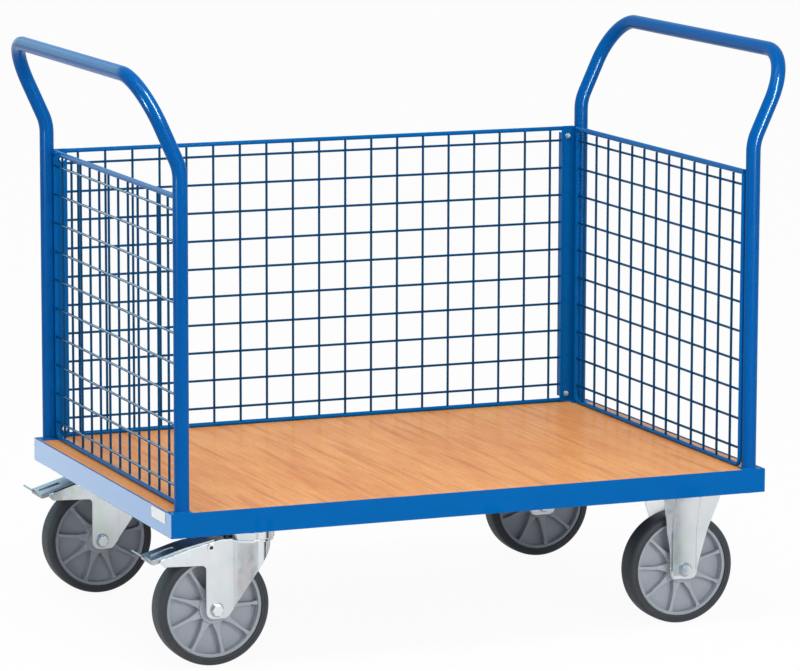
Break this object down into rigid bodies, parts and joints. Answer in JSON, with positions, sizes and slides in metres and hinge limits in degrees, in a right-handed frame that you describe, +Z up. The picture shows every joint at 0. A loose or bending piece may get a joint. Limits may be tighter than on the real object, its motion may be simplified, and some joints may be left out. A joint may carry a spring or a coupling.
{
  "type": "mesh-sided platform trolley",
  "caption": "Flat-deck hand trolley with wire mesh panels at both ends and along the back, tube push hoops, braked swivel castors and fixed castors",
  "frame": {"origin": "on the floor under the middle of the platform, which is also the middle of the overall box", "axes": "X along the length from the swivel castors to the fixed castors, Y from the open side to the back panel, Z up"},
  "size_m": [1.246, 0.768, 1.0411],
  "materials": {
    "blue_paint": "gloss",
    "zinc_plate": "bright zinc",
    "deck_board": "satin",
    "rim_plastic": "matte",
    "tyre_rubber": "matte",
    "shoe_rubber": "matte"
  },
  "bodies": {
    "chassis": {"front_rail": "blue_paint", "rear_rail": "blue_paint", "left_end_rail": "blue_paint", "right_end_rail": "blue_paint", "corner_plates": "blue_paint", "castor_pads": "blue_paint", "cross_tubes": "blue_paint", "deck_board": "deck_board", "left_hoop": "blue_paint", "right_hoop": "blue_paint", "hoop_plugs": "zinc_plate", "hoop_screws": "zinc_plate", "left_top_rail": "blue_paint", "right_top_rail": "blue_paint", "left_end_rod": "blue_paint", "right_end_rod": "blue_paint", "left_end_mesh": "blue_paint", "right_end_mesh": "blue_paint", "back_rod_frame": "blue_paint", "back_mesh": "blue_paint", "left_back_strip": "blue_paint", "right_back_strip": "blue_paint", "back_panel_bolts": "zinc_plate", "back_panel_nuts": "zinc_plate", "castor_bolts": "zinc_plate", "castor_nuts": "zinc_plate", "swivel_top_plates": "zinc_plate", "kingpins": "zinc_plate", "front_fixed_bracket": "zinc_plate", "rear_fixed_bracket": "zinc_plate", "fixed_axle_bolts": "zinc_plate", "fixed_axle_nuts": "zinc_plate", "fixed_axle_tubes": "zinc_plate"},
    "front_swivel": {"front_fork": "zinc_plate", "front_race_ring": "zinc_plate", "front_race_balls": "zinc_plate", "front_axle_tube": "zinc_plate", "front_axle_bolt": "zinc_plate", "front_axle_nut": "zinc_plate", "front_pedal_pin": "zinc_plate"},
    "front_pedal_body": {"front_pedal": "zinc_plate", "front_brake_shoe": "shoe_rubber"},
    "front_left_wheel": {"front_left_tyre": "tyre_rubber", "front_left_rim": "rim_plastic"},
    "front_right_wheel": {"front_right_tyre": "tyre_rubber", "front_right_rim": "rim_plastic"},
    "rear_swivel": {"rear_fork": "zinc_plate", "rear_race_ring": "zinc_plate", "rear_race_balls": "zinc_plate", "rear_axle_tube": "zinc_plate", "rear_axle_bolt": "zinc_plate", "rear_axle_nut": "zinc_plate", "rear_pedal_pin": "zinc_plate"},
    "rear_pedal_body": {"rear_pedal": "zinc_plate", "rear_brake_shoe": "shoe_rubber"},
    "rear_left_wheel": {"rear_left_tyre": "tyre_rubber", "rear_left_rim": "rim_plastic"},
    "rear_right_wheel": {"rear_right_tyre": "tyre_rubber", "rear_right_rim": "rim_plastic"}
  },
  "joints": [
    {"name": "front_swivel_turn", "type": "hinge", "parent": "chassis", "child": "front_swivel", "pos_m": [-0.397, -0.311, 0.2305], "axis": [0, 0, 1], "continuous": true},
    {"name": "front_left_wheel_spin", "type": "hinge", "parent": "front_swivel", "child": "front_left_wheel", "pos_m": [-0.468, -0.311, 0.102], "axis": [0, 1, 0], "continuous": true},
    {"name": "front_right_wheel_spin", "type": "hinge", "parent": "chassis", "child": "front_right_wheel", "pos_m": [0.425, -0.311, 0.102], "axis": [0, 1, 0], "continuous": true},
    {"name": "front_pedal_press", "type": "hinge", "parent": "front_swivel", "child": "front_pedal_body", "pos_m": [-0.478, -0.311, 0.212], "axis": [0, -1, 0], "range_deg": [0, 10]},
    {"name": "rear_swivel_turn", "type": "hinge", "parent": "chassis", "child": "rear_swivel", "pos_m": [-0.397, 0.311, 0.2305], "axis": [0, 0, 1], "continuous": true},
    {"name": "rear_left_wheel_spin", "type": "hinge", "parent": "rear_swivel", "child": "rear_left_wheel", "pos_m": [-0.468, 0.311, 0.102], "axis": [0, 1, 0], "continuous": true},
    {"name": "rear_right_wheel_spin", "type": "hinge", "parent": "chassis", "child": "rear_right_wheel", "pos_m": [0.425, 0.311, 0.102], "axis": [0, 1, 0], "continuous": true},
    {"name": "rear_pedal_press", "type": "hinge", "parent": "rear_swivel", "child": "rear_pedal_body", "pos_m": [-0.478, 0.311, 0.212], "axis": [0, -1, 0], "range_deg": [0, 10]}
  ]
}
